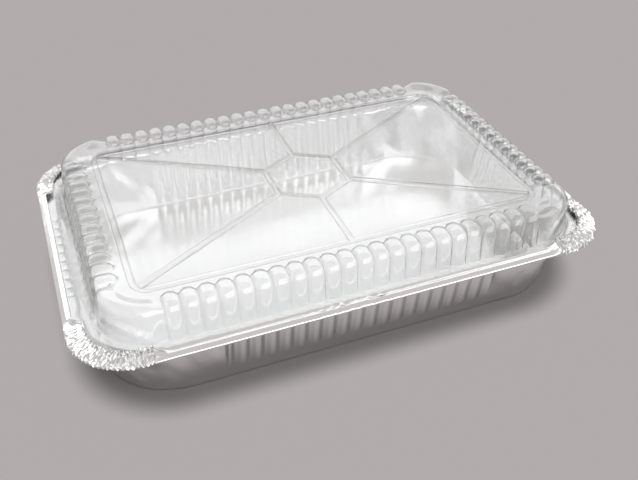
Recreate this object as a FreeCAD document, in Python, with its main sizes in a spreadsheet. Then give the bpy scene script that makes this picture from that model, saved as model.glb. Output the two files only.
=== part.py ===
"""A pressed aluminium foil tray with its clear thermoformed lid clamped under the folded rim.

Frame: origin at the middle of the tray's base, on the surface it stands on.
X runs along the long side, Y across the tray and Z up. Lengths are millimetres.
"""
import FreeCAD, Part
import math
import os
import Sketcher

SIZES = [
    # tray: plan of the folded rim, and the height of the flange above the table
    ("rim_length", 316.0),
    ("rim_width", 210.0),
    ("rim_corner", 34.0),
    ("flange_height", 40.0),
    ("foil", 0.25),
    # tray walls: how far the wall's top lies inside the rim, and how far its foot lies further in
    ("flange_width", 10.5),
    ("wall_lean", 6.0),
    ("base_corner", 42.0),
    ("base_round", 5.0),
    # shallow flutes pressed into the middle of each wall
    ("flute_pitch", 8.4),
    ("flute_width", 6.0),
    ("flute_depth", 0.9),
    ("flutes_long", 19),
    ("flutes_short", 9),
    ("flute_foot", 1.0),
    # rim: the foil folds up and over the lid, and its free edge is hemmed into a bead
    ("fold_radius", 0.9),
    ("leaf_reach", 4.7),
    ("leaf_slope", 24.0),
    ("bead_radius", 0.8),
    # pleats that gather the leaf round each corner
    ("pleats", 10),
    ("pleat_rise", 1.5),
    ("pleat_length", 9.5),
    # lid: plan of the frame channel on top, and the height of the top panel
    ("panel_length", 240.0),
    ("panel_width", 143.0),
    ("panel_corner", 9.0),
    ("panel_height", 60.0),
    ("lid_wall", 0.3),
    ("lid_gap", 0.15),
    ("lid_edge_gap", 1.4),
    # lid walls: how far they stand outside the frame channel at the shoulder and at the foot
    ("shoulder_reach", 18.0),
    ("foot_reach", 19.5),
    ("shoulder_bevel", 2.4),
    ("corner_swell", 3.0),
    ("corner_bevel", 4.0),
    # half-round ribs that run from the ledge over the shoulder and down the wall
    ("rib_pitch", 9.5),
    ("rib_radius", 5.0),
    ("rib_rise", 3.0),
    ("ribs_long", 23),
    ("ribs_short", 13),
    ("ledge", 6.5),
    # channels that stiffen the top: a frame, a hexagon and six spokes
    ("channel_width", 4.4),
    ("channel_depth", 1.2),
    ("hexagon_radius", 26.3),
    # how far a cutting shape runs on past the face that it opens
    ("overrun", 1.0),
]

doc = FreeCAD.newDocument("foil_tray")
sheet = doc.addObject("Spreadsheet::Sheet", "sizes")
for row, (alias, size) in enumerate(SIZES, start=1):
    sheet.set("A%d" % row, alias)
    sheet.set("B%d" % row, str(size))
    sheet.setAlias("B%d" % row, alias)
doc.recompute()


def number(formula):
    """The value that a formula over the sheet's cells has now."""
    found = sheet.evalExpression(formula)
    return float(getattr(found, "Value", found))


def cells(formula):
    """A formula with each alias written as a cell of the sheet."""
    words = formula
    for alias in sorted((name for name, size in SIZES), key=len, reverse=True):
        words = words.replace("<%s>" % alias, "sizes.%s" % alias)
    return words


def origin_item(body, role):
    """One of a body's own origin planes or axes."""
    return next(item for item in body.Origin.OriginFeatures if item.Role == role)


def new_sketch(body, name, plane, offset):
    """A sketch on a body's origin plane, moved along the plane's normal by a formula."""
    sketch = body.newObject("Sketcher::SketchObject", name)
    sketch.AttachmentSupport = (origin_item(body, plane), [""])
    sketch.MapMode = "FlatFace"
    sketch.setExpression("AttachmentOffset.Base.z", cells(offset))
    return sketch


def bind(sketch, kind, *places, formula):
    """Adds a dimension to a sketch and binds it to a formula."""
    index = sketch.addConstraint(Sketcher.Constraint(kind, *places, number(cells(formula))))
    sketch.setExpression("Constraints[%d]" % index, cells(formula))
    return index


def rounded_rectangle(body, name, height, length, width, radius):
    """A rounded rectangle about the origin, at a height, with its three dimensions bound."""
    sketch = new_sketch(body, name, "XY_Plane", height)
    long, wide, corner = (number(cells(formula)) for formula in (length, width, radius))
    x, y = long / 2, wide / 2
    up = FreeCAD.Vector(0, 0, 1)
    corners = [(x, -y), (x, y), (-x, y), (-x, -y)]
    ends = [(-1, 0, 0, 1), (0, -1, -1, 0), (1, 0, 0, -1), (0, 1, 1, 0)]
    starts = []
    for (cx, cy), (ax, ay, bx, by) in zip(corners, ends):
        into = FreeCAD.Vector(cx + ax * corner, cy + ay * corner, 0)
        out_of = FreeCAD.Vector(cx + bx * corner, cy + by * corner, 0)
        starts.append((into, out_of))
    for turn in range(4):
        begin = starts[turn - 1][1]
        finish = starts[turn][0]
        sketch.addGeometry(Part.LineSegment(begin, finish))
        cx, cy = corners[turn]
        centre = FreeCAD.Vector(cx - math.copysign(corner, cx), cy - math.copysign(corner, cy), 0)
        first = (turn - 1) * math.pi / 2
        sketch.addGeometry(Part.ArcOfCircle(Part.Circle(centre, up, corner), first, first + math.pi / 2))
    for turn in range(4):
        line, arc, following = 2 * turn, 2 * turn + 1, (2 * turn + 2) % 8
        sketch.addConstraint(Sketcher.Constraint("Tangent", line, 2, arc, 1))
        sketch.addConstraint(Sketcher.Constraint("Tangent", arc, 2, following, 1))
        sketch.addConstraint(Sketcher.Constraint("Vertical" if turn % 2 else "Horizontal", line))
        if turn:
            sketch.addConstraint(Sketcher.Constraint("Equal", 1, arc))
    sketch.addConstraint(Sketcher.Constraint("Symmetric", 3, 3, 7, 3, -1, 1))
    bind(sketch, "DistanceX", 6, 1, 2, 1, formula=length)
    bind(sketch, "DistanceY", 0, 1, 4, 1, formula=width)
    bind(sketch, "Radius", 1, formula=radius)
    return sketch


def polyline(body, name, plane, offset, points, closed=False):
    """Straight runs through points, each point placed from the origin by two formulas."""
    sketch = new_sketch(body, name, plane, offset)
    places = [FreeCAD.Vector(number(cells(u)), number(cells(v)), 0) for u, v in points]
    count = len(points) if closed else len(points) - 1
    for index in range(count):
        sketch.addGeometry(Part.LineSegment(places[index], places[(index + 1) % len(places)]))
    for index in range(1, count):
        sketch.addConstraint(Sketcher.Constraint("Coincident", index - 1, 2, index, 1))
    if closed:
        sketch.addConstraint(Sketcher.Constraint("Coincident", count - 1, 2, 0, 1))
    for index, (u, v) in enumerate(points):
        line, end = (index, 1) if index < count else (count - 1, 2)
        bind(sketch, "DistanceX", -1, 1, line, end, formula=u)
        bind(sketch, "DistanceY", -1, 1, line, end, formula=v)
    return sketch


def swap(points):
    """The same points with their two formulas exchanged."""
    return [(v, u) for u, v in points]


def lean_sketch(sketch, turned, angle, out):
    """Stands a level sketch square to a wall that leans in by an angle, out from the middle of the part."""
    axis = FreeCAD.Vector(0, -1, 0) if turned else FreeCAD.Vector(1, 0, 0)
    height = sketch.AttachmentOffset.Base.z
    sketch.AttachmentOffset = FreeCAD.Placement(FreeCAD.Vector(0, 0, height), FreeCAD.Rotation(axis, 1))
    sketch.setExpression("AttachmentOffset.Rotation.Angle", cells(angle))
    sketch.setExpression("AttachmentOffset.Base.%s" % ("x" if turned else "y"), cells(out))


def pad(body, name, sketch, length):
    """A sketch raised along its normal."""
    feature = body.newObject("PartDesign::Pad", name)
    feature.Profile = sketch
    feature.setExpression("Length", cells(length))
    doc.recompute()
    return feature


def tapered_pad(body, name, sketch, height, lean):
    """A sketch raised to a height; its sides lean out by a formula's millimetres over that height."""
    feature = body.newObject("PartDesign::Pad", name)
    feature.Profile = sketch
    feature.setExpression("Length", cells(height))
    feature.setExpression("TaperAngle", cells("atan((%s) / (%s))" % (lean, height)))
    doc.recompute()
    return feature


def pipe(body, name, profile, path, subtractive=False):
    """A profile carried along a path, with mitred corners."""
    kind = "Subtractive" if subtractive else "Additive"
    feature = body.newObject("PartDesign::%sPipe" % kind, name)
    feature.Profile = profile
    feature.Spine = path
    feature.Transition = "Right corner"
    doc.recompute()
    return feature


def bevel_edges(body, name, base, size, wanted):
    """Bevels the edges of a feature for which the test wanted(edge) holds."""
    names = ["Edge%d" % (index + 1) for index, edge in enumerate(base.Shape.Edges) if wanted(edge)]
    feature = body.newObject("PartDesign::Chamfer", name)
    feature.Base = (base, names)
    feature.setExpression("Size", cells(size))
    body.Tip = feature
    doc.recompute()
    return feature


def repeat(body, name, original, axis=None, back=False, count=None, pitch=None, mirrors=()):
    """Copies a feature in a row along an axis and mirrors the row in the body's own planes."""
    feature = body.newObject("PartDesign::MultiTransform", name)
    feature.Originals = [original]
    steps = []
    if axis:
        row_of = body.newObject("PartDesign::LinearPattern", name + "_row")
        row_of.Direction = (origin_item(body, axis), [""])
        row_of.Reversed = back
        row_of.setExpression("Length", cells("(%s - 1) * %s" % (count, pitch)))
        row_of.setExpression("Occurrences", cells(count))
        steps.append(row_of)
    for plane in mirrors:
        mirror = body.newObject("PartDesign::Mirrored", name + "_" + plane[:2].lower())
        mirror.MirrorPlane = (origin_item(body, plane), [""])
        steps.append(mirror)
    feature.Transformations = steps
    body.Tip = feature
    doc.recompute()
    return feature


# lid: heights and the slope of its walls
LID_FOOT = "(<flange_height> + <foil> + <lid_gap>)"
LID_LEAN = "((<foot_reach> - <shoulder_reach>) / (<panel_height> - %s))" % LID_FOOT
RIB_AXIS = "(<rib_radius> - <rib_rise>)"
RIBS_LONG_HALF = "((<ribs_long> - 1) / 2 * <rib_pitch>)"
RIBS_SHORT_HALF = "((<ribs_short> - 1) / 2 * <rib_pitch>)"
RIB_FLATS = 3


def flat(edge, height):
    """True for an edge that lies at a height all along."""
    box = edge.BoundBox
    return abs(box.ZMin - height) < 0.01 and abs(box.ZMax - height) < 0.01


class Skin:
    """One side of the lid's sheet: how far it lies inside the outer side, and its heights."""

    def __init__(self, name, inset):
        self.name = name
        self.inset = inset
        self.low = "(%s - <overrun>)" % LID_FOOT
        self.reach = "(<foot_reach> + %s * <overrun>)" % LID_LEAN
        self.top = "(<panel_height> - %s)" % inset
        self.tall = "(%s - %s)" % (self.top, self.low)
        self.lean = "-%s * %s" % (LID_LEAN, self.tall)


OUTER = Skin("outer", "0")
INNER = Skin("inner", "<lid_wall>")


def lid_dome(name, skin, swell, bevel):
    """A plain dome: a tapered rounded box whose shoulder is bevelled."""
    body = doc.addObject("PartDesign::Body", name + "_" + skin.name)
    out = "(%s + %s - %s)" % (skin.reach, swell, skin.inset)
    foot = rounded_rectangle(body, name + "_foot", skin.low, "<panel_length> + 2 * %s" % out,
                             "<panel_width> + 2 * %s" % out, "<panel_corner> + %s" % out)
    dome = tapered_pad(body, name + "_pad", foot, skin.tall, skin.lean)
    top = number(cells(skin.top))
    size = "%s - %s * (2 - sqrt(2))" % (bevel, skin.inset)
    bevel_edges(body, name + "_bevel", dome, size, lambda edge: flat(edge, top))
    return body


def box(name, length, width, height, x, y, z):
    """A box whose sizes and lowest corner are formulas."""
    block = doc.addObject("Part::Box", name)
    for field, formula in (("Length", length), ("Width", width), ("Height", height),
                           ("Placement.Base.x", x), ("Placement.Base.y", y), ("Placement.Base.z", z)):
        block.setExpression(field, cells(formula))
    return block


def fuse(name, shapes):
    """Several shapes joined."""
    joined = doc.addObject("Part::MultiFuse", name)
    joined.Shapes = shapes
    return joined


def cut(name, base, tool):
    """One shape with another taken away."""
    left = doc.addObject("Part::Cut", name)
    left.Base = base
    left.Tool = tool
    return left


def lid_corners(skin):
    """The plain corners: a dome that swells out nearly as far as the ribs, kept beyond the last ribs."""
    swelled = lid_dome("corner_dome", skin, "<corner_swell>", "<corner_bevel>")
    near_x = "(%s + <rib_pitch> / 2 + %s)" % (RIBS_LONG_HALF, skin.inset)
    near_y = "(%s + <rib_pitch> / 2 + %s)" % (RIBS_SHORT_HALF, skin.inset)
    length, width, tall = "<rim_length> / 2", "<rim_width> / 2", "%s + <overrun>" % skin.tall
    blocks = []
    for x in (near_x, "-%s - %s" % (near_x, length)):
        for y in (near_y, "-%s - %s" % (near_y, width)):
            blocks.append(box("corner_block_" + skin.name, length, width, tall, x, y, skin.low))
    corners = doc.addObject("Part::Common", "corners_" + skin.name)
    corners.Base = swelled
    corners.Tool = fuse("corner_blocks_" + skin.name, blocks)
    return corners


def rib_profile(body, name, along, half_span, turned, skin):
    """A half-round section in flats, on two legs that reach just under the dome's skin.

    Its plane is square to the wall, and its origin is on the wall's skin line at the foot.
    """
    radius = "(<rib_radius> - %s)" % skin.inset
    level = "(%s - %s)" % (RIB_AXIS, skin.inset)
    first = "asin(%s / %s)" % (level, radius)
    points = [("%s + %s * cos(%s)" % (along, radius, first), "-<overrun> - %s" % skin.inset)]
    for index in range(RIB_FLATS + 1):
        angle = "(%s + %d * (180 deg - 2 * %s) / %d)" % (first, index, first, RIB_FLATS)
        points.append(("%s + %s * cos(%s)" % (along, radius, angle),
                       "%s * sin(%s) - %s" % (radius, angle, RIB_AXIS)))
    points.append(("%s - %s * cos(%s)" % (along, radius, first), "-<overrun> - %s" % skin.inset))
    if turned:
        points = swap(points)
    sketch = polyline(body, name, "XY_Plane", skin.low, points, closed=True)
    lean_sketch(sketch, turned, "atan(%s)" % LID_LEAN, "%s + %s" % (half_span, skin.reach))
    return sketch


def rib_path(body, name, plane, offset, half_span, skin):
    """The dome's own skin line that a rib follows, from the foot over the shoulder to the ledge."""
    bevel = "<shoulder_bevel>"
    at_bevel = "(<shoulder_reach> + %s * %s)" % (LID_LEAN, bevel)
    points = [
        ("%s + %s" % (half_span, skin.reach), skin.low),
        ("%s + %s" % (half_span, at_bevel), "<panel_height> - %s" % bevel),
        ("%s + <shoulder_reach> - %s" % (half_span, bevel), "<panel_height>"),
        ("%s + <ledge> + %s" % (half_span, skin.inset), "<panel_height>"),
    ]
    return polyline(body, name, plane, offset, points)


def lid_ribs(skin):
    """The rows of ribs on the four walls, cut off level at the foot."""
    body = doc.addObject("PartDesign::Body", "ribs_" + skin.name)
    across, along = "<panel_width> / 2", "<panel_length> / 2"
    profile = rib_profile(body, "long_rib", RIBS_LONG_HALF, across, False, skin)
    path = rib_path(body, "long_rib_path", "YZ_Plane", RIBS_LONG_HALF, across, skin)
    rib = pipe(body, "rib_long", profile, path)
    repeat(body, "ribs_long_sides", rib, "X_Axis", True, "<ribs_long>", "<rib_pitch>", ("XZ_Plane",))
    profile = rib_profile(body, "short_rib", RIBS_SHORT_HALF, along, True, skin)
    path = rib_path(body, "short_rib_path", "XZ_Plane", "-%s" % RIBS_SHORT_HALF, along, skin)
    rib = pipe(body, "rib_short", profile, path)
    repeat(body, "ribs_short_sides", rib, "Y_Axis", True, "<ribs_short>", "<rib_pitch>", ("YZ_Plane",))
    return body


def channel_section(body, name, plane, offset, across, skin):
    """A channel's section: flat bottomed, with sides at 45 degrees that run out above the top."""
    low = "(<channel_width> / 2 - <channel_depth> + %s * (sqrt(2) - 1))" % skin.inset
    floor = "(%s - <channel_depth>)" % skin.top
    rise = "(<channel_depth> + <overrun>)"
    points = [
        ("%s - %s - %s" % (across, low, rise), "%s + %s" % (floor, rise)),
        ("%s - %s" % (across, low), floor),
        ("%s + %s" % (across, low), floor),
        ("%s + %s + %s" % (across, low, rise), "%s + %s" % (floor, rise)),
    ]
    return polyline(body, name, plane, offset, points, closed=True)


def channel_bar(body, name, x, y, angle, length, skin):
    """A straight channel from a point, at an angle to X."""
    sketch = channel_section(body, name + "_section", "YZ_Plane", "0", "0", skin)
    turn = FreeCAD.Rotation(FreeCAD.Vector(0, 1, 0), 1)
    sketch.AttachmentOffset = FreeCAD.Placement(FreeCAD.Vector(), turn)
    sketch.setExpression("AttachmentOffset.Base.x", cells(y))
    sketch.setExpression("AttachmentOffset.Base.z", cells(x))
    sketch.setExpression("AttachmentOffset.Rotation.Angle", cells(angle))
    return pad(body, name, sketch, length)


def lid_channels(skin):
    """The sunk channels on top: the frame, the hexagon in the middle and the six spokes."""
    body = doc.addObject("PartDesign::Body", "channels_" + skin.name)
    edge = "(<hexagon_radius> * cos(30 deg))"
    section = channel_section(body, "frame_section", "YZ_Plane", "0", "<panel_width> / 2", skin)
    path = rounded_rectangle(body, "frame_path", "%s - <channel_depth>" % skin.top,
                             "<panel_length>", "<panel_width>", "<panel_corner>")
    pipe(body, "frame", section, path)
    far_x, far_y = "(<panel_length> / 2 - <panel_corner>)", "(<panel_width> / 2 - <panel_corner> / 2)"
    reach_x, reach_y = "(%s - %s)" % (far_x, edge), "(%s - <hexagon_radius> / 2)" % far_y
    spoke = channel_bar(body, "corner_spoke", edge, "<hexagon_radius> / 2", "atan(%s / %s)" % (reach_y, reach_x),
                        "sqrt(%s ^ 2 + %s ^ 2)" % (reach_x, reach_y), skin)
    repeat(body, "corner_spokes", spoke, mirrors=("YZ_Plane", "XZ_Plane"))
    spoke = channel_bar(body, "middle_spoke", "0", "<hexagon_radius>", "90 deg",
                        "<panel_width> / 2 - <hexagon_radius>", skin)
    repeat(body, "middle_spokes", spoke, mirrors=("XZ_Plane",))
    over = "(<channel_width> / 2 * tan(30 deg))"
    side = channel_bar(body, "hexagon_side", edge, "-<hexagon_radius> / 2 - %s" % over, "90 deg",
                       "<hexagon_radius> + 2 * %s" % over, skin)
    ring = body.newObject("PartDesign::PolarPattern", "hexagon")
    ring.Originals = [side]
    ring.Axis = (origin_item(body, "Z_Axis"), [""])
    ring.Angle = 360
    ring.Occurrences = 6
    body.Tip = ring
    doc.recompute()
    return body


def lid_skin(skin, flange=None):
    """The solid inside one side of the lid's sheet, which ends level with the flange if it has one."""
    dome = fuse("plain_dome_" + skin.name, [lid_dome("dome", skin, "0", "<shoulder_bevel>"), lid_corners(skin)])
    dome = cut("channelled_dome_" + skin.name, dome, lid_channels(skin))
    ribs = lid_ribs(skin)
    if flange:
        below = box("below_lid", "2 * <rim_length>", "2 * <rim_width>", "2 * <overrun>",
                    "-<rim_length>", "-<rim_width>", "%s - 2 * <overrun>" % LID_FOOT)
        dome = fuse("flanged_dome", [cut("dome_above", dome, below), flange])
        ribs = cut("ribs_above", ribs, below)
    return fuse("skin_" + skin.name, [dome, ribs])


def clear_lid():
    """The lid: the space between its two skins, with the flange that the rim clamps."""
    flange = doc.addObject("PartDesign::Body", "lid_flange")
    gap = "<lid_edge_gap> + <foil>"
    plate = rounded_rectangle(flange, "flange_plan", LID_FOOT, "<rim_length> - 2 * (%s)" % gap,
                              "<rim_width> - 2 * (%s)" % gap, "<rim_corner> - (%s)" % gap)
    pad(flange, "flange_pad", plate, "<lid_wall>")
    lid = cut("clear_lid", lid_skin(OUTER, flange), lid_skin(INNER))
    lid.Label = "clear_lid"
    doc.recompute()
    return lid


# tray: the plan at the foot of its wall, and the slope of the wall
BASE_LENGTH = "(<rim_length> - 2 * (<flange_width> + <wall_lean>))"
BASE_WIDTH = "(<rim_width> - 2 * (<flange_width> + <wall_lean>))"
WALL_SLOPE = "(<wall_lean> / (<flange_height> - <base_round>))"
FLUTES_LONG_HALF = "((<flutes_long> - 1) / 2 * <flute_pitch>)"
FLUTES_SHORT_HALF = "((<flutes_short> - 1) / 2 * <flute_pitch>)"
FOLD_CENTRE = "(<flange_height> + <fold_radius>)"
SHEET_RADIUS = "(<fold_radius> - <foil> / 2)"
PLEAT_STEP = "(90 deg / <pleats>)"
BASE_TURN = 45
BASE_FLATS = 2
FOLD_FLATS = 4


def tray_stage(body, name, low, high, inside, lean):
    """A ring of the tray's form between two heights, inside the wall's foot at its lower edge."""
    plan = rounded_rectangle(body, name + "_plan", low, "%s - 2 * %s" % (BASE_LENGTH, inside),
                             "%s - 2 * %s" % (BASE_WIDTH, inside), "<base_corner> - %s" % inside)
    return tapered_pad(body, name, plan, "(%s - %s)" % (high, low), lean)


def flute_row(body, name, inset, low, top, turned):
    """A row of flutes on one pair of walls, each two flats that stand out from the wall."""
    half_row = FLUTES_SHORT_HALF if turned else FLUTES_LONG_HALF
    half_span = "%s / 2" % (BASE_LENGTH if turned else BASE_WIDTH)
    angle = "atan(<flute_depth> / (<flute_width> / 2))"
    half = "(<flute_width> / 2 - %s * tan(%s / 2))" % (inset, angle)
    points = [
        ("%s + %s" % (half_row, half), "-<foil>"),
        ("%s + %s" % (half_row, half), "0"),
        (half_row, "%s * tan(%s)" % (half, angle)),
        ("%s - %s" % (half_row, half), "0"),
        ("%s - %s" % (half_row, half), "-<foil>"),
    ]
    section = polyline(body, name + "_section", "XY_Plane", low, swap(points) if turned else points, closed=True)
    out = "%s - %s + %s * (%s - <base_round>)" % (half_span, inset, WALL_SLOPE, low)
    lean_sketch(section, turned, "-atan(%s)" % WALL_SLOPE, out)
    flute = pad(body, name, section, "(%s - %s) / cos(atan(%s))" % (top, low, WALL_SLOPE))
    if turned:
        repeat(body, name + "_rows", flute, "Y_Axis", True, "<flutes_short>", "<flute_pitch>", ("YZ_Plane",))
    else:
        repeat(body, name + "_rows", flute, "X_Axis", True, "<flutes_long>", "<flute_pitch>", ("XZ_Plane",))


def tray_skin(name, inset, top, flute_top):
    """The solid inside one side of the tray's sheet: floor, rounded base edge, wall and flutes."""
    body = doc.addObject("PartDesign::Body", "tray_" + name)
    radius = "(<base_round> - %s)" % inset
    for flat_number in range(BASE_FLATS):
        level, inside = [], []
        for angle in (BASE_TURN * flat_number, BASE_TURN * (flat_number + 1)):
            level.append("(<base_round> - %s * cos(%d deg))" % (radius, angle))
            inside.append("(<base_round> - %s * sin(%d deg))" % (radius, angle))
        stage = "base_edge_%s_%d" % (name, flat_number + 1)
        tray_stage(body, stage, level[0], level[1], inside[0], "(%s - %s)" % (inside[0], inside[1]))
    tray_stage(body, "wall_" + name, "<base_round>", top, inset, "%s * (%s - <base_round>)" % (WALL_SLOPE, top))
    low = "(<base_round> + <flute_foot> + %s)" % inset
    flute_row(body, "long_flute_" + name, inset, low, flute_top, False)
    flute_row(body, "short_flute_" + name, inset, low, flute_top, True)
    return body


def leaf_point(along, above):
    """A point on the folded leaf, inward from the rim's edge and up: along it and above its middle."""
    radius = "(%s + %s)" % (SHEET_RADIUS, above)
    slope = "(<leaf_slope> * 1 deg)"
    inward = "(<fold_radius> - %s * sin(%s) + (%s) * cos(%s))" % (radius, slope, along, slope)
    height = "(%s + %s * cos(%s) + (%s) * sin(%s))" % (FOLD_CENTRE, radius, slope, along, slope)
    return inward, height


def fold_point(radius, index):
    """A point on the fold at the rim's edge, by its radius and its place in the turn."""
    angle = "(270 deg - %d * (180 deg - <leaf_slope> * 1 deg) / %d)" % (index, FOLD_FLATS)
    return ("(<fold_radius> + %s * cos(%s))" % (radius, angle), "(%s + %s * sin(%s))" % (FOLD_CENTRE, radius, angle))


def fold_section(leaf, inside):
    """The section of the flange's edge and the fold, with the leaf that follows and the way back inside."""
    inner_end = "(<fold_radius> + <overrun>)"
    section = [(inner_end, "<flange_height>")]
    section += [fold_point("<fold_radius>", index) for index in range(FOLD_FLATS + 1)]
    section += [leaf_point(along, above) for along, above in leaf]
    section += inside
    section.append((inner_end, "<flange_height> + <foil>"))
    return section


def rim_sides():
    """The four straight stretches of the rim: the fold, the leaf and the bead along its free edge."""
    body = doc.addObject("PartDesign::Body", "rim_sides")
    side = "<bead_radius> * cos(30 deg)"
    bead = [("-%s" % side, "<bead_radius> / 2"), ("0", "<bead_radius>"), (side, "<bead_radius> / 2"),
            (side, "-<bead_radius> / 2"), ("0", "-<bead_radius>"), ("-%s" % side, "-<bead_radius> / 2")]
    leaf = [("<leaf_reach> - %s" % side, "<foil> / 2")]
    leaf += [("<leaf_reach> + %s" % along, above) for along, above in bead]
    leaf.append(("<leaf_reach> - %s" % side, "-<foil> / 2"))
    inside = [fold_point("(<fold_radius> - <foil>)", index) for index in range(FOLD_FLATS, -1, -1)]
    section = fold_section(leaf, inside)
    for name, plane, out, run in (("long", "YZ_Plane", "<rim_width> / 2", "<rim_length> / 2 - <rim_corner>"),
                                  ("short", "XZ_Plane", "<rim_length> / 2", "<rim_width> / 2 - <rim_corner>")):
        points = [("%s - %s" % (out, inward), height) for inward, height in section]
        profile = polyline(body, name + "_rim_section", plane, "-(%s)" % run, points, closed=True)
        stretch = pad(body, name + "_rim", profile, "2 * (%s)" % run)
        repeat(body, name + "_rims", stretch, mirrors=("XZ_Plane" if name == "long" else "YZ_Plane",))
    return body


def at_corner(name):
    """A body whose origin is the axis of one corner of the rim."""
    body = doc.addObject("PartDesign::Body", name)
    body.setExpression("Placement.Base.x", cells("<rim_length> / 2 - <rim_corner>"))
    body.setExpression("Placement.Base.y", cells("<rim_width> / 2 - <rim_corner>"))
    return body


def corner_fold():
    """The fold round one corner, pressed solid, up to the lid's edge."""
    body = at_corner("corner_fold")
    foot = ("(<fold_radius> + <overrun> / 2)", "(<flange_height> + <foil>)")
    section = fold_section([("<overrun>", "<foil> / 2"), ("<overrun>", "-<foil> / 2")], [foot])
    points = [("<rim_corner> - %s" % inward, height) for inward, height in section]
    turn = body.newObject("PartDesign::Revolution", "fold_turn")
    turn.Profile = polyline(body, "corner_section", "XZ_Plane", "0", points, closed=True)
    turn.ReferenceAxis = (origin_item(body, "Z_Axis"), [""])
    turn.Angle = 90
    doc.recompute()
    return body


def corner_gather():
    """The leaf at one corner: wider than along the sides, and gathered into a fan of pleats."""
    body = at_corner("corner_gather")
    body.setExpression("Placement.Rotation.Angle", cells("%s / 2" % PLEAT_STEP))
    inward, height = leaf_point("<foil>", "0")
    reach = "(<rim_corner> - %s)" % inward
    half = "(<rim_corner> * tan(%s / 2))" % PLEAT_STEP
    ridge = [("-<foil>", "-%s" % half), ("0", "-%s" % half), ("<pleat_rise>", "0"),
             ("0", half), ("-<foil>", half)]
    sketch = polyline(body, "pleat_section", "XY_Plane", height, ridge, closed=True)
    up = sketch.AttachmentOffset.Base.z
    sketch.AttachmentOffset = FreeCAD.Placement(FreeCAD.Vector(0, 0, up), FreeCAD.Rotation(FreeCAD.Vector(0, -1, 0), 1))
    sketch.setExpression("AttachmentOffset.Rotation.Angle", cells("90 deg - <leaf_slope> * 1 deg"))
    sketch.setExpression("AttachmentOffset.Base.x", cells(reach))
    pleat = pad(body, "pleat", sketch, "<pleat_length> - <foil>")
    fan = body.newObject("PartDesign::PolarPattern", "pleat_fan")
    fan.Originals = [pleat]
    fan.Axis = (origin_item(body, "Z_Axis"), [""])
    fan.setExpression("Angle", cells("90 deg - %s" % PLEAT_STEP))
    fan.setExpression("Occurrences", cells("<pleats>"))
    body.Tip = fan
    doc.recompute()
    return body


def mirrored(name, source, normal):
    """A shape mirrored through the origin, across a plane with a normal."""
    image = doc.addObject("Part::Mirroring", name)
    image.Source = source
    image.Normal = normal
    return image


def foil_tray():
    """The tray: its sheet between two skins, with the flange, the folded rim and the gathered corners."""
    outer = tray_skin("outer", "0", "<flange_height>", "(<flange_height> + <foil> - <foil> * %s)" % WALL_SLOPE)
    plan = rounded_rectangle(outer, "flange_plan", "<flange_height>", "<rim_length> - 2 * <fold_radius>",
                             "<rim_width> - 2 * <fold_radius>", "<rim_corner> - <fold_radius>")
    pad(outer, "flange", plan, "<foil>")
    top = "(<flange_height> + <overrun>)"
    shell = cut("tray_shell", outer, tray_skin("inner", "<foil>", top, top))
    corner = fuse("corner", [corner_fold(), corner_gather()])
    pair = fuse("corner_pair", [corner, mirrored("corner_left", corner, FreeCAD.Vector(1, 0, 0))])
    corners = fuse("corners", [pair, mirrored("corners_front", pair, FreeCAD.Vector(0, 1, 0))])
    tray = fuse("foil_tray", [shell, rim_sides(), corners])
    tray.Label = "foil_tray"
    doc.recompute()
    return tray


tray, lid = foil_tray(), clear_lid()
for item in doc.Objects:
    if "Invalid" in item.State or "Error" in item.State:
        raise RuntimeError("%s is not in order: %s" % (item.Name, item.State))
for node in (tray, lid):
    if node.Shape.isNull() or not node.Shape.isValid() or len(node.Shape.Solids) != 1:
        raise RuntimeError("%s is not one valid solid" % node.Label)
os.makedirs("parts", exist_ok=True)
for node in (tray, lid):
    node.Shape.exportStep("parts/%s.step" % node.Label)
    print(node.Label, round(node.Shape.Volume, 1), "mm3", node.Shape.BoundBox)
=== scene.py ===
# %% [markdown]
# # A foil tray with a clear lid
# A shallow oblong tray is pressed from one sheet of aluminium foil. A clear domed lid, formed from one
# sheet of plastic, is clamped under its folded rim. Both are sheets, so both are made the same way:
# a loop of edges is extruded again and again, and each new loop is laid on the form that the real sheet
# was pressed over. The sheet then gets its thickness.

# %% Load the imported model
import bmesh
import bpy
import math
from mathutils import Matrix, Vector, noise


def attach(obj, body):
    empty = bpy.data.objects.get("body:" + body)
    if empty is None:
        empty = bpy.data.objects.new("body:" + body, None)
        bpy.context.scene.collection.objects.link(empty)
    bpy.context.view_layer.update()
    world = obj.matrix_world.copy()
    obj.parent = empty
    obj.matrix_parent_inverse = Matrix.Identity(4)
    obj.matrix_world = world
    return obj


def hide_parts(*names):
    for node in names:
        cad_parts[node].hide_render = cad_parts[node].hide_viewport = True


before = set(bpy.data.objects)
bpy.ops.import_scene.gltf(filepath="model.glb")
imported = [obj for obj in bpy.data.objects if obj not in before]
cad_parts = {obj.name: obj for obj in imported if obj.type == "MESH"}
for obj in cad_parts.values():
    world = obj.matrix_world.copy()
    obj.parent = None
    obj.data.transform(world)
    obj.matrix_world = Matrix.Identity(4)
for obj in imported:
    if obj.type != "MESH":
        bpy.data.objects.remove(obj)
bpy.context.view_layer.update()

MM = 0.001


def deselect_all():
    """Nothing is selected, so an operator acts on the new piece only."""
    for thing in bpy.context.selected_objects:
        thing.select_set(False)


# %% [markdown]
# ## Camera
# The photo looks down on the tray from the front left, from about half a metre. A short telephoto lens
# on a camera at that place gives the same perspective, so the render can be set beside the photo.

# %% Camera at the photo's angle
YAW, PITCH, ROLL = math.radians(21.72), math.radians(37.22), math.radians(0.23)
FOCAL_PIXELS, PHOTO_WIDTH = 773.96, 638

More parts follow.
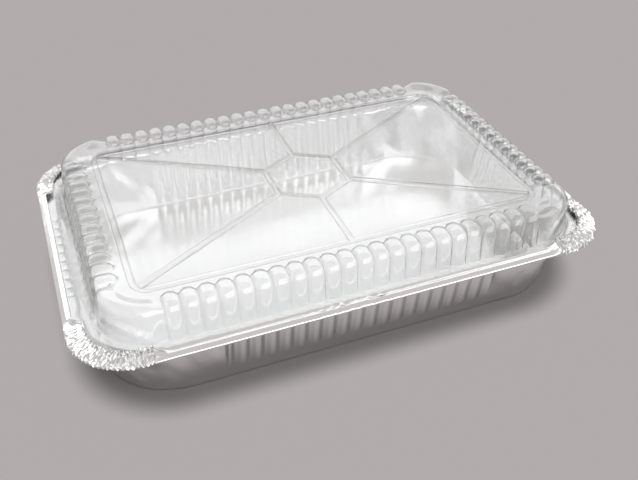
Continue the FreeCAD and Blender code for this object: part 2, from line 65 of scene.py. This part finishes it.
bpy.ops.object.camera_add(location=(-0.1427, -0.3792, 0.3172))
camera = bpy.context.object
camera.name = "photo_camera"
ahead = Vector((math.sin(YAW) * math.cos(PITCH), math.cos(YAW) * math.cos(PITCH), -math.sin(PITCH)))
level = Vector((math.cos(YAW), -math.sin(YAW), 0))
upright = level.cross(ahead)
right = math.cos(ROLL) * level + math.sin(ROLL) * upright
above = math.cos(ROLL) * upright - math.sin(ROLL) * level
camera.rotation_euler = Matrix((right, above, -ahead)).transposed().to_euler()
camera.data.sensor_width = 36
camera.data.lens = 36 * FOCAL_PIXELS / PHOTO_WIDTH
bpy.context.scene.camera = camera
print("lens", round(camera.data.lens, 1), "mm")

# %% [markdown]
# ## Colours and nodes
# Colours are written as the eye sees them, as hex values, and one function turns them to the linear
# values that the shaders work in. Another adds one node with its settings and links.

# %% Colour and node helpers


def linear(hex_colour):
    """A hex colour as linear red, green, blue and alpha."""
    parts = [int(hex_colour[i:i + 2], 16) / 255 for i in (1, 3, 5)]
    return [p / 12.92 if p <= 0.04045 else ((p + 0.055) / 1.055) ** 2.4 for p in parts] + [1]


def add_node(material, kind, settings=None, links=None, **sockets):
    """One node of a material: its settings, its input values, and links to its inputs."""
    node = material.node_tree.nodes.new(kind)
    for name, value in (settings or {}).items():
        setattr(node, name, value)
    for name, value in sockets.items():
        node.inputs[name.replace("_", " ")].default_value = value
    for name, source in (links or {}).items():
        material.node_tree.links.new(source, node.inputs[name])
    return node


def new_material(name):
    """A material with an empty node tree but for its output."""
    material = bpy.data.materials.new(name)
    material.use_nodes = True
    material.node_tree.nodes.clear()
    output = material.node_tree.nodes.new("ShaderNodeOutputMaterial")
    return material, output


# %% [markdown]
# ## Plans
# Every loop of the lid and the tray is a rounded rectangle. A place on a loop is a number that runs once
# round it: along a side it is a distance, and round a corner an angle. So a rib keeps its place on all
# loops, whatever their size, and the loops stay in line.

# %% A rounded rectangle and a place on it
LEAD_SHARE = 0.1


class Plan:
    """How a loop is divided: a ribbed stretch in the middle of each side, two plain ends, and corners.

    A corner part may take in a short straight lead on both sides of the bend. Each lead has LEAD_SHARE
    of the corner's steps.
    """

    def __init__(self, long_half, short_half, steps_long, steps_short, steps_end, steps_corner, straight):
        self.halves = (long_half, short_half)
        self.straight = straight
        self.steps = (steps_long, steps_short)
        self.steps_end = steps_end
        self.steps_corner = steps_corner
        self.side_count = [s + 2 * steps_end for s in self.steps]
        self.count = 2 * sum(self.side_count) + 4 * steps_corner

    def where(self, step):
        """The side (0 front, 1 right, 2 back, 3 left), the part of it, and how far along that part."""
        step = step % self.count
        for side in range(4):
            middle, total = self.steps[side % 2], self.side_count[side % 2]
            if step < total:
                if step < self.steps_end:
                    return side, "first end", step / self.steps_end
                if step <= self.steps_end + middle:
                    return side, "middle", (step - self.steps_end) / middle
                return side, "last end", (step - self.steps_end - middle) / self.steps_end
            step -= total
            if step < self.steps_corner:
                return side, "corner", step / self.steps_corner
            step -= self.steps_corner
        return 0, "first end", 0.0

    def place(self, step, half_length, half_width, radius):
        """The point of a loop, its outward direction, and the distance along the side's middle or None."""
        side, part, share = self.where(step)
        reach = (half_length, half_width)[side % 2]
        depth = (half_width, half_length)[side % 2]
        middle = self.halves[side % 2]
        end = reach - radius - self.straight
        if part == "corner":
            lead = LEAD_SHARE if self.straight else 0.0
            bend = min(1.0, max(0.0, (share - lead) / (1 - 2 * lead)))
            angle = math.radians(90 * bend)
            along = reach - radius + radius * math.sin(angle)
            out = depth - radius + radius * math.cos(angle)
            if share < lead:
                along -= self.straight * (1 - share / lead)
            elif lead and share > 1 - lead:
                out -= self.straight * (1 - (1 - share) / lead)
            lean, spot = angle, None
        else:
            lean, out = 0.0, depth
            if part == "middle":
                along = middle * (2 * share - 1)
                spot = along
            elif part == "first end":
                along = -end + (end - middle) * share
                spot = None
            else:
                along = middle + (end - middle) * share
                spot = None
        turn = math.radians(90 * side)
        x = along * math.cos(turn) + out * math.sin(turn)
        y = along * math.sin(turn) - out * math.cos(turn)
        face = turn - math.pi / 2 + lean
        return Vector((x, y)), Vector((math.cos(face), math.sin(face))), spot


# %% [markdown]
# ## Pulling a sheet from a loop
# In edit mode a circle is laid on the first loop. Extruding its edges makes the next loop on the same
# spot, and each of its points is then moved to its place. A value kept on every point says where on
# the loop it is. Extruding copies the value, and cutting an edge gives the new point one in between.

# %% Helpers that pull a sheet


def start_sheet(name, plan, first_loop):
    """A circle in edit mode, laid on the first loop, with the place of each point kept on it."""
    deselect_all()
    bpy.ops.mesh.primitive_circle_add(vertices=plan.count, radius=1, location=(0, 0, 0))
    sheet = bpy.context.object
    sheet.name = name
    bpy.ops.object.mode_set(mode="EDIT")
    mesh = bmesh.from_edit_mesh(sheet.data)
    step_of = mesh.verts.layers.float.new("step")
    mesh.verts.ensure_lookup_table()
    edge, last = mesh.verts[0].link_edges[0], mesh.verts[0]
    for step in range(plan.count):
        last[step_of] = step
        last.co = first_loop(step) * MM
        last = edge.other_vert(last)
        edge = next(other for other in last.link_edges if other is not edge)
    bmesh.update_edit_mesh(sheet.data)
    bpy.ops.mesh.select_all(action="SELECT")
    return sheet


def next_loop(sheet, loop):
    """Extrudes the selected loop of edges and lays the new loop on its place."""
    bpy.ops.mesh.extrude_edges_move()
    mesh = bmesh.from_edit_mesh(sheet.data)
    step_of = mesh.verts.layers.float["step"]
    for vertex in mesh.verts:
        if vertex.select:
            vertex.co = loop(vertex[step_of]) * MM
    bmesh.update_edit_mesh(sheet.data)


def finish_sheet(sheet, thickness, offset, angle):
    """Gives a sheet its thickness and smooth shading, with its faces pointing outwards."""
    bpy.ops.mesh.select_all(action="SELECT")
    bpy.ops.mesh.normals_make_consistent(inside=False)
    bpy.ops.object.mode_set(mode="OBJECT")
    if sheet.data.polygons[0].normal.z < 0:
        sheet.data.flip_normals()
    solidify = sheet.modifiers.new("thickness", "SOLIDIFY")
    solidify.thickness = thickness * MM
    solidify.offset = offset
    solidify.use_quality_normals = True
    bpy.ops.object.modifier_apply(modifier="thickness")
    bpy.ops.object.shade_smooth_by_angle(angle=math.radians(angle))
    print(sheet.name, len(sheet.data.polygons), "faces")


# %% [markdown]
# ## The lid's form
# The lid is thermoformed: a hot clear sheet is drawn over a mould. Its walls carry half-round ribs that
# run over the shoulder and end in a round nose on top. The corners are plain and swell as far as the
# ribs do. On top, sunk channels stiffen the panel: a frame, a hexagon and six spokes.

# %% Sizes of the lid, in millimetres
PANEL_LONG, PANEL_WIDE, PANEL_CORNER, PANEL_TOP = 120.0, 71.5, 9.0, 60.0
RIB_PITCH, RIB_RISE = 9.5, 3.0
RIBS_LONG, RIBS_SHORT = 23, 13
LEDGE, NOSE = 6.3, 4.6
CORNER_SWELL = 2.7
CHANNEL_HALF, CHANNEL_FLAT, CHANNEL_DEPTH = 2.2, 0.9, 1.3
HEXAGON = 26.3
LID_EDGE = (156.35, 103.35, 32.35)
LID_FOOT = 40.7

lid_plan = Plan(RIBS_LONG * RIB_PITCH / 2, RIBS_SHORT * RIB_PITCH / 2,
                RIBS_LONG * 12, RIBS_SHORT * 12, 3, 22, 0)
print("points round the lid:", lid_plan.count)

# %% Channels on top


def channel_lines():
    """The middle lines of the straight channels: each a start and an end, in plan."""
    corners = [Vector((HEXAGON * math.sin(math.radians(60 * k)), HEXAGON * math.cos(math.radians(60 * k))))
               for k in range(6)]
    lines = [(corners[k], corners[(k + 1) % 6]) for k in range(6)]
    for x, y in ((1, 1), (1, -1), (-1, -1), (-1, 1)):
        inner = Vector((x * HEXAGON * math.cos(math.radians(30)), y * HEXAGON / 2))
        outer = Vector((x * (PANEL_LONG - PANEL_CORNER / 2), y * (PANEL_WIDE - PANEL_CORNER / 2)))
        lines.append((inner, outer))
    for y in (1, -1):
        lines.append((Vector((0, y * HEXAGON)), Vector((0, y * PANEL_WIDE))))
    return lines


def sunk(distance):
    """How deep a channel is at a distance from its middle line."""
    if distance >= CHANNEL_HALF:
        return 0.0
    up_the_side = max(0.0, distance - CHANNEL_FLAT) / (CHANNEL_HALF - CHANNEL_FLAT)
    return CHANNEL_DEPTH * (0.5 + 0.5 * math.cos(math.pi * up_the_side))


CHANNELS = channel_lines()
FAR = 99.0


def top_height(point, frame_distance=FAR):
    """The height of the top panel at a point in plan."""
    depth = sunk(abs(frame_distance))
    for start, end in CHANNELS:
        run = end - start
        share = min(1.0, max(0.0, (point - start).dot(run) / run.length_squared))
        depth = max(depth, sunk((point - start - share * run).length))
    return PANEL_TOP - depth


print(len(CHANNELS), "straight channels")

# %% Ribs and corners
SWELL_START, SWELL_CLIMB = 0.2, 5
SHOULDER, SHOULDER_OUT = 3.4, 14.85
WALL_OUT, WALL_SLOPE = 18.0, 0.0765


def ease(share):
    """A share from 0 to 1 with a soft start and end."""
    return share * share * (3 - 2 * share)


def rib_rise(plan, step, spot, from_nose):
    """How far a rib, or the swell of a plain corner, stands out of the lid's form."""
    nose = max(0.0, 1 - from_nose / NOSE)
    if spot is not None:
        across = 2 * ((spot / RIB_PITCH + 0.5) % 1) - 1
        return RIB_RISE * math.sqrt(max(0.0, 1 - across ** 2 - nose ** 2))
    side, part, share = plan.where(step)
    if part == "corner":
        near = min(1.0, SWELL_START + SWELL_CLIMB * min(share, 1 - share))
    elif part == "first end":
        near = SWELL_START * (1 - share)
    else:
        near = SWELL_START * share
    climb = min(1.0, from_nose / (2 * NOSE))
    return CORNER_SWELL * ease(near) * ease(climb)


def lid_path():
    """The lid's form in section, from the ledge over the shoulder and down the wall to its foot.

    Each step gives the distance outside the frame channel, the height, the direction that a rib stands
    out in, as an angle above level, and the distance from where the rib's nose starts.
    """
    path = []
    for out in (2.9, 4.6, 6.3, 6.4, 6.6, 6.9, 7.3, 7.9, 8.7, 9.7, 10.9, 12.8, SHOULDER_OUT):
        path.append((out, PANEL_TOP, 90.0, out - LEDGE))
    for angle in (76, 62, 48, 34, 20, 5):
        turn = math.radians(angle)
        out = SHOULDER_OUT + SHOULDER * math.cos(turn)
        path.append((out, PANEL_TOP - SHOULDER + SHOULDER * math.sin(turn), angle, FAR))
    for height in (54.5, 52.0, 49.0, 46.0, 43.5, 42.1):
        path.append((WALL_OUT + (PANEL_TOP - height) * WALL_SLOPE, height, 4.4, FAR))
    path.append((19.5, 41.3, 8.0, FAR))
    path.append((19.8, 40.9, 14.0, FAR))
    return path


def lid_loop(out, height, way, from_nose):
    """The places on one loop of the lid."""
    def laid(step):
        point, face, spot = lid_plan.place(step, PANEL_LONG + out, PANEL_WIDE + out, PANEL_CORNER + out)
        rise = rib_rise(lid_plan, step, spot, from_nose) if from_nose > 0 else 0.0
        slope = math.radians(way)
        side = face * rise * math.cos(slope)
        return Vector((point.x + side.x, point.y + side.y, height + rise * math.sin(slope)))
    return laid


def channel_loop(out):
    """The places on one loop of the frame channel, with the spokes running into it."""
    def laid(step):
        point, face, spot = lid_plan.place(step, PANEL_LONG + out, PANEL_WIDE + out, PANEL_CORNER + out)
        return Vector((point.x, point.y, top_height(point, out)))
    return laid


# %% [markdown]
# ## Making the lid
# The panel inside the frame starts as one flat face. Straight cuts along both sides of each channel give
# it edges just where the channel bends, so few faces are enough and the flat parts stay flat. Then the
# frame channel, the ribs and the walls are pulled from the panel's edge, loop by loop.

# %% Cut the panel
INSIDE = -2.9
CHANNEL_CUTS = (-2.2, -1.75, -1.3, -0.9, 0.9, 1.3, 1.75, 2.2)

lid = start_sheet("clear_lid_sheet", lid_plan, channel_loop(INSIDE))
bpy.ops.mesh.edge_face_add()
for start, end in CHANNELS:
    run = (end - start).normalized()
    across = Vector((-run.y, run.x, 0))
    for offset in (INSIDE, *CHANNEL_CUTS, -INSIDE):
        at = Vector((start.x, start.y, 0)) + across * offset
        bpy.ops.mesh.select_all(action="SELECT")
        bpy.ops.mesh.bisect(plane_co=at * MM, plane_no=across)
mesh = bmesh.from_edit_mesh(lid.data)
for vertex in mesh.verts:
    if not vertex.is_boundary:
        vertex.co.z = top_height(Vector(vertex.co.xy) / MM) * MM
    else:
        vertex.co.z = top_height(Vector(vertex.co.xy) / MM, INSIDE) * MM
bmesh.update_edit_mesh(lid.data)
print("panel:", len(mesh.faces), "faces")

# %% Pull the frame channel, the ribs and the walls
FLANGE_START = 24.0

bpy.ops.mesh.select_all(action="DESELECT")
mesh = bmesh.from_edit_mesh(lid.data)
for edge in mesh.edges:
    if edge.is_boundary:
        edge.select_set(True)
bmesh.update_edit_mesh(lid.data)
for out in CHANNEL_CUTS:
    next_loop(lid, channel_loop(out))
for out, height, way, from_nose in lid_path():
    next_loop(lid, lid_loop(out, height, way, from_nose))


def flange_loop(share):
    """The places on a loop of the flat flange, from just outside the ribs to its edge."""
    def laid(step):
        size = [(inner + FLANGE_START) * (1 - share) + edge * share
                for inner, edge in zip((PANEL_LONG, PANEL_WIDE, PANEL_CORNER), LID_EDGE)]
        point, face, spot = lid_plan.place(step, *size)
        return Vector((point.x, point.y, LID_FOOT))
    return laid


for share in (0.0, 0.5, 1.0):
    next_loop(lid, flange_loop(share))
finish_sheet(lid, 0.3, -1, 60)

# %% [markdown]
# ## The tray's form
# The tray is pressed from foil a tenth of a millimetre thick. Its floor turns up through a round edge
# into leaning walls, with shallow flutes along the middle of each side. The flange at the top runs out
# to the rim, where the foil is folded up and back over the lid, and its free edge is turned back on
# itself in a narrow hem. At the corners there is too much foil for the shorter way round, so it gathers
# into crumpled pleats.

# %% Sizes of the tray, in millimetres
RIM = (158.0, 105.0, 34.0)
WALL_FOOT = (141.5, 88.5, 42.0)
WALL_LEAN, WALL_TOP, FLANGE, BASE_ROUND = 6.0, 40.0, 40.15, 1.2
CORNER_FLARE = 10.0
FLUTE_PITCH, FLUTES_LONG, FLUTES_SHORT, FLUTE_HALF, FLUTE_DEPTH = 8.4, 19, 9, 3.3, 1.7
FOLD, LEAF_SLOPE, LEAF = 0.8, 24.0, 4.9
HEM_RADIUS, HEM = 0.5, 1.9
GATHER_LEAF, GATHER_RISE, GATHER_RUN = 9.6, 1.5, 6.0
GATHER_DROP = 1.2
CORNER_CRUMPLE = (1.7, 1.0, 1.2, 0.85)

tray_plan = Plan(FLUTES_LONG * FLUTE_PITCH / 2, FLUTES_SHORT * FLUTE_PITCH / 2,
                 FLUTES_LONG * 8, FLUTES_SHORT * 8, 12, 120, GATHER_RUN)
print("points round the tray:", tray_plan.count)

# %% Wrinkles and flutes
WRINKLE_SLANT, WRINKLE_SQUASH = 0.6, 0.4
WIDE_WRINKLE, SMALL_WRINKLE = 1.3, 0.6


def soft_noise(point, size, seed):
    """Smooth noise from -1 to 1 at a point, with lumps of a size in millimetres."""
    return noise.noise(Vector((point.x / size, point.y / size, point.z / size + seed)))


def flute_rise(spot):
    """How far a flute, which is round in section, stands out of the wall."""
    if spot is None:
        return 0.0
    across = ((spot / FLUTE_PITCH) % 1 - 0.5) * FLUTE_PITCH
    round_radius = (FLUTE_HALF ** 2 + FLUTE_DEPTH ** 2) / (2 * FLUTE_DEPTH)
    if abs(across) >= FLUTE_HALF:
        return 0.0
    return math.sqrt(round_radius ** 2 - across ** 2) - round_radius + FLUTE_DEPTH


def wall_loop(height, inset, flute, crumple):
    """The places on one loop of the base edge or the wall, with its shares of flute and of wrinkles."""
    lean = WALL_LEAN * max(0.0, height - BASE_ROUND) / (WALL_TOP - BASE_ROUND)

    def laid(step):
        grow = lean - inset
        radius = WALL_FOOT[2] + grow - CORNER_FLARE * (height / FLANGE) ** 2
        point, face, spot = tray_plan.place(step, WALL_FOOT[0] + grow, WALL_FOOT[1] + grow, radius)
        place = Vector((point.x, point.y, height))
        out = flute * flute_rise(spot)
        if spot is None:
            slide = WRINKLE_SLANT * height
            slanted = Vector((point.x + slide, point.y - slide, WRINKLE_SQUASH * height))
            wrinkles = WIDE_WRINKLE * soft_noise(slanted, 15, 3) + SMALL_WRINKLE * soft_noise(slanted, 7, 9)
            out += crumple * wrinkles
        return place + Vector((face.x, face.y, 0)) * out
    return laid


# %% The corners' gathers
NOTCH_START, NOTCH_RUN = 0.9, 0.06
FOLD_COUNTS, FOLD_JITTER, FOLD_HEIGHT, FOLD_SPREAD = (48, 56, 52, 54), 0.36, 0.75, 0.6


def corner_share(step):
    """0 along the sides and 1 round a corner, with a short way over where the leaf is notched."""
    side, part, share = tray_plan.where(step)
    if part == "corner":
        return 1.0
    near = {"first end": 1 - share, "last end": share}.get(part, 0.0)
    return max(0.0, min(1.0, (near - NOTCH_START) / NOTCH_RUN))


def folds(count, seed):
    """The fold lines round one corner: uneven places, and heights that go up and down in turn."""
    places = []
    for index in range(count + 1):
        jitter = FOLD_JITTER * noise.noise(Vector((index * 1.7, seed, 0.5)))
        height = FOLD_HEIGHT + FOLD_SPREAD * noise.noise(Vector((index * 2.3, seed, 8.5)))
        places.append(((index + jitter) / count, height * (1 if index % 2 else -1)))
    return places


CORNER_FOLDS = [folds(count, 3.1 * side) for side, count in enumerate(FOLD_COUNTS)]


def pleat(step):
    """The zigzag from fold line to fold line round a corner, from about -1 to 1."""
    side, part, share = tray_plan.where(step)
    if part != "corner":
        return 0.6 * noise.noise(Vector((step / 2.1, 3.3, 0)))
    lines = CORNER_FOLDS[side]
    for (low, first), (high, second) in zip(lines, lines[1:]):
        if low <= share <= high:
            return first + (second - first) * (share - low) / (high - low)
    return 0.0


GATHER_FLATTER, GATHER_HEM_THINNER, GATHER_HEM_SHORTER, HEM_LIFT = 0.4, 0.6, 0.8, 0.35


def rim_section(step, along):
    """A point of the folded foil in section: inward from the rim's edge, and up."""
    gather = corner_share(step)
    slope = math.radians(LEAF_SLOPE * (1 - GATHER_FLATTER * gather))
    centre = FLANGE + FOLD
    turn = math.pi - slope
    if along <= 1:
        angle = -math.pi / 2 - along * turn
        return FOLD + FOLD * math.cos(angle), centre + FOLD * math.sin(angle)
    reach = LEAF * (1 - gather) + GATHER_LEAF * gather
    far = min(along - 1, 1.0) * reach
    inward = FOLD - FOLD * math.sin(slope) + far * math.cos(slope)
    height = centre + FOLD * math.cos(slope) + far * math.sin(slope)
    if along > 2:
        hem = HEM_RADIUS * (1 - GATHER_HEM_THINNER * gather)
        curl = math.pi * min(1.0, along - 2)
        back = max(0.0, along - 3)
        ahead = hem * math.sin(curl) - back * HEM * (1 - GATHER_HEM_SHORTER * gather)
        over = hem * (1 - math.cos(curl)) + HEM_LIFT * back ** 2
        inward += ahead * math.cos(slope) - over * math.sin(slope)
        height += ahead * math.sin(slope) + over * math.cos(slope)
    return inward, height


SLIP, PLEAT_IN = 2.2, 0.55
CRUMPLE_IN, CRUMPLE_UP, CRUMPLE_FINE = 1.3, 0.9, 0.5
SIDE_DENT, SIDE_DENT_FINE, SIDE_WANDER = 0.14, 0.05, 0.06
FRONT_DENT, FRONT_DENT_AT, FRONT_DENT_REACH = 0.9, -12, 36
LEFT_MARK, LEFT_MARK_PITCH, LEFT_MARK_AT, LEFT_MARK_REACH = 0.22, 2.6, 14, 26


def rim_loop(along):
    """The places on a loop of the rim: 0 to 1 round the fold, to 2 along the leaf, to 4 round the hem.

    Round the corners the loop zigzags from fold line to fold line and is crumpled. On the sides it has
    faint dents, a few deeper ones near the middle of the front, and fine even marks on the left.
    """
    def laid(step):
        inward, height = rim_section(step, along)
        gather = corner_share(step)
        point, face, spot = tray_plan.place(step, *RIM)
        place = Vector((point.x, point.y, height))
        grow = min(1.0, max(0.0, along - 0.3) / 0.9)
        slip = SLIP * grow * noise.noise(Vector((step / 15, along * 1.6, 2)))
        side = tray_plan.where(step)[0]
        crease = gather * CORNER_CRUMPLE[side]
        zigzag = pleat(step + slip) * crease
        height += zigzag * GATHER_RISE * (0.3 + 0.5 * grow) * min(1.0, along * 2)
        inward += zigzag * PLEAT_IN * (1 - 0.6 * grow) * min(1.0, along * 2)
        inward += crease * grow * CRUMPLE_IN * noise.noise(Vector((step / 2.3, along, 5)))
        height += crease * grow * CRUMPLE_UP * noise.noise(Vector((step / 2.6, along * 2.6, 15)))
        height += crease * grow * CRUMPLE_FINE * noise.noise(Vector((step / 1.5, along * 6.1, 25)))
        height -= gather * GATHER_DROP * min(1.0, max(0.0, along - 1))
        dent = soft_noise(place, 9, 21) * SIDE_DENT + soft_noise(place, 3, 31) * SIDE_DENT_FINE
        if side == 0:
            fade = max(0.0, 1 - abs(point.x - FRONT_DENT_AT) / FRONT_DENT_REACH)
            dent += FRONT_DENT * soft_noise(place, 3.2, 51) * fade
        if side == 3:
            mark = math.sin(2 * math.pi * point.y / LEFT_MARK_PITCH)
            dent += LEFT_MARK * mark * max(0.0, 1 - abs(point.y - LEFT_MARK_AT) / LEFT_MARK_REACH)
        height += dent * grow * (1 - gather)
        back = inward + SIDE_WANDER * soft_noise(place, 6, 41)
        return Vector((point.x - face.x * back, point.y - face.y * back, height))
    return laid


# %% [markdown]
# ## Making the tray
# The floor is one face. The base edge, the wall, the flange, the fold, the leaf and the hem are pulled
# from it in loops, as the press draws the foil out of one flat sheet. The rim could be a piece of its
# own, but then a seam would show where the wall's creases run into the gathers at the corners.

# %% Pull the tray
BASE_LINE = 0.1

tray = start_sheet("foil_tray_sheet", tray_plan, wall_loop(BASE_LINE, BASE_ROUND + 3, 0, 0))
bpy.ops.mesh.edge_face_add()
for angle in (0, 18, 36, 54, 72, 90):
    turn = math.radians(angle)
    rise = BASE_LINE + (BASE_ROUND - BASE_LINE) * (1 - math.cos(turn))
    next_loop(tray, wall_loop(rise, BASE_ROUND * (1 - math.sin(turn)), 0, 0.4 * math.sin(turn)))
for height, flute in ((7, 0.35), (9, 0.85), (12, 1), (17, 1), (22, 1), (27, 1), (32, 1), (36, 1),
                      (38.2, 0.9)):
    next_loop(tray, wall_loop(height, 0, flute, 1))
next_loop(tray, wall_loop(39.4, -0.4, 0.7, 0.6))
next_loop(tray, wall_loop(FLANGE, -1.6, 0.3, 0))
next_loop(tray, rim_loop(0))
for along in (0.2, 0.4, 0.6, 0.8, 1.0, 1.08, 1.18, 1.28, 1.38, 1.48, 1.58, 1.68, 1.78, 1.88, 1.95, 2.0,
              2.2, 2.4, 2.6, 2.8, 3.0, 3.3, 3.65, 4.0):
    next_loop(tray, rim_loop(along))
finish_sheet(tray, 0.16, 0, 38)

# %% [markdown]
# ## Foil
# The tray is annealed aluminium foil, bright rolled. It is a bare metal, so its look is all reflection:
# the finish is fairly smooth, and shallow wrinkles a few centimetres wide bend what it mirrors.

# %% Bright rolled foil
foil, output = new_material("bright_rolled_foil")
where = add_node(foil, "ShaderNodeTexCoord")
# Wrinkles 45 mm long and 1 mm deep, as handling leaves them, and a fine grain 3 mm long.
wrinkle = add_node(foil, "ShaderNodeTexNoise", links={"Vector": where.outputs["Object"]},
                   Scale=22.0, Detail=1.0, Roughness=0.4)
fine = add_node(foil, "ShaderNodeTexNoise", links={"Vector": where.outputs["Object"]},
                Scale=300.0, Detail=2.0, Roughness=0.5)
soft_bump = add_node(foil, "ShaderNodeBump", links={"Height": wrinkle.outputs["Fac"]},
                     Strength=0.6, Distance=0.0016)
bump = add_node(foil, "ShaderNodeBump",
                links={"Height": fine.outputs["Fac"], "Normal": soft_bump.outputs["Normal"]},
                Strength=0.2, Distance=0.00006)
rough = add_node(foil, "ShaderNodeMapRange", links={"Value": wrinkle.outputs["Fac"]},
                 To_Min=0.14, To_Max=0.23)
metal = add_node(foil, "ShaderNodeBsdfPrincipled",
                 links={"Normal": bump.outputs["Normal"], "Roughness": rough.outputs["Result"]},
                 Base_Color=linear("#F4F4F3"), Metallic=1.0)
foil.node_tree.links.new(metal.outputs["BSDF"], output.inputs["Surface"])
tray.data.materials.append(foil)

# %% [markdown]
# ## Clear plastic
# The lid is clear polystyrene sheet, thermoformed. It shows what lies under it, and itself mostly by
# its gloss. A sheet of 0.3 mm with a real index of refraction gives the edges of the ribs, a little
# sheen gives the milky look where the sheet stands steep to the eye, and slow waves bend its highlights.

# %% Clear thermoformed polystyrene
clear, output = new_material("clear_polystyrene_sheet")
place = add_node(clear, "ShaderNodeTexCoord")
# Waves 14 mm long, where the hot sheet stretched unevenly.
wave = add_node(clear, "ShaderNodeTexNoise", links={"Vector": place.outputs["Object"]},
                Scale=70.0, Detail=1.0, Roughness=0.4)
waves = add_node(clear, "ShaderNodeBump", links={"Height": wave.outputs["Fac"]},
                 Strength=0.3, Distance=0.0012)
plastic = add_node(clear, "ShaderNodeBsdfPrincipled", links={"Normal": waves.outputs["Normal"]},
                   Base_Color=linear("#FBFCFC"), Roughness=0.03, IOR=1.59, Transmission_Weight=0.93,
                   Sheen_Weight=0.3, Sheen_Roughness=0.4,
                   Coat_Weight=0.5, Coat_Roughness=0.03, Coat_IOR=1.5)
clear.node_tree.links.new(plastic.outputs["BSDF"], output.inputs["Surface"])
lid.data.materials.append(clear)

# %% [markdown]
# ## Ties to the model
# Each sheet takes the place of the solid that it stands for, which is hidden, and rides on
# the one body that the tray and its lid share.

# %% Tie both pieces to the model
for piece, node, slot in ((tray, "foil_tray", "foil"), (lid, "clear_lid", "lid")):
    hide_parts(node)
    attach(piece, "root")
    print(piece.name, "stands for", node)

# %% [markdown]
# ## Studio
# The photo has one warm grey all round and a soft shadow close to the tray. A large diffuse floor takes
# the real shadow near the tray, and there its paper is painted darker than that grey: painted shade right
# at the tray's foot that deepens the shadow.
# Further out, where it is looked at, mirrored or seen through the lid, it shows that one grey. Metal
# and clear plastic only look right with something to mirror, so the lamps are wide, and between them
# the surroundings stay grey.

# %% Floor
BACKGROUND = "#B3ADAD"
TRAY_CORE = (0.0995, 0.0465, 0)
# Between these distances from the tray's core the darker paper, with its painted shade and the real shadow,
# fades into the even grey.
SHADOW_ENDS = (0.045, 0.066)

deselect_all()
bpy.ops.mesh.primitive_plane_add(size=60, location=(0, 0, 0))
floor = bpy.context.object
floor.name = "studio_floor"
paper, output = new_material("grey_paper_painted_darker_near_tray")
# The paper is darker than the even grey. Near the tray, where it shows, this is painted shade round the
# tray's foot, and the foil wall mirrors it.
paper_painted_darker = add_node(paper, "ShaderNodeBsdfDiffuse", Color=linear("#767472"))
even = add_node(paper, "ShaderNodeEmission", Color=linear(BACKGROUND))
spot = add_node(paper, "ShaderNodeTexCoord")
apart = add_node(paper, "ShaderNodeVectorMath", {"operation": "ABSOLUTE"}, {0: spot.outputs["Object"]})
beyond = add_node(paper, "ShaderNodeVectorMath", {"operation": "SUBTRACT"}, {0: apart.outputs["Vector"]})
beyond.inputs[1].default_value = TRAY_CORE
outside = add_node(paper, "ShaderNodeVectorMath", {"operation": "MAXIMUM"}, {0: beyond.outputs["Vector"]})
outside.inputs[1].default_value = (0, 0, 0)
distance = add_node(paper, "ShaderNodeVectorMath", {"operation": "LENGTH"}, {0: outside.outputs["Vector"]})
share = add_node(paper, "ShaderNodeMapRange", {"interpolation_type": "SMOOTHSTEP"},
                 {"Value": distance.outputs["Value"]},
                 From_Min=SHADOW_ENDS[0], From_Max=SHADOW_ENDS[1], To_Min=0.0, To_Max=0.97)
rays = add_node(paper, "ShaderNodeLightPath")
seen = add_node(paper, "ShaderNodeMath", {"operation": "MAXIMUM"},
                {0: rays.outputs["Is Camera Ray"], 1: rays.outputs["Is Glossy Ray"]})
looked = add_node(paper, "ShaderNodeMath", {"operation": "MAXIMUM"},
                  {0: seen.outputs["Value"], 1: rays.outputs["Is Transmission Ray"]})
part = add_node(paper, "ShaderNodeMath", {"operation": "MULTIPLY"},
                {0: share.outputs["Result"], 1: looked.outputs["Value"]})
look = add_node(paper, "ShaderNodeMixShader",
                links={0: part.outputs["Value"], 1: paper_painted_darker.outputs["BSDF"], 2: even.outputs["Emission"]})
paper.node_tree.links.new(look.outputs["Shader"], output.inputs["Surface"])
floor.data.materials.append(paper)

# %% Lamps


def softbox(name, spot, target, width, height, watts):
    """A wide area lamp that faces a target."""
    deselect_all()
    bpy.ops.object.light_add(type="AREA", location=spot)
    lamp = bpy.context.object
    lamp.name = name
    lamp.data.shape = "RECTANGLE"
    lamp.data.size, lamp.data.size_y = width, height
    lamp.data.energy = watts
    lamp.data.color = linear("#FBFBFF")[:3]
    lamp.rotation_euler = (Vector(target) - Vector(spot)).to_track_quat("-Z", "Y").to_euler()
    return lamp


softbox("back_softbox", (0.45, 1.7, 1.35), (0, 0, 0), 3.8, 1.9, 19)
softbox("front_softbox", (0.4, -1.75, 1.2), (0, 0, 0), 3.6, 1.9, 30)
softbox("left_softbox", (-1.8, 0.3, 1.1), (0, 0, 0), 2.0, 1.4, 3)
softbox("right_softbox", (1.9, -0.2, 1.1), (0, 0, 0), 1.6, 1.2, 4)

world = bpy.data.worlds.new("studio")
bpy.context.scene.world = world
world.use_nodes = True
around = world.node_tree.nodes["Background"]
around.inputs["Color"].default_value = linear("#E9E6E4")
around.inputs["Strength"].default_value = 0.76
bpy.context.scene.view_settings.view_transform = "Standard"
print(len(bpy.data.lights), "lamps")
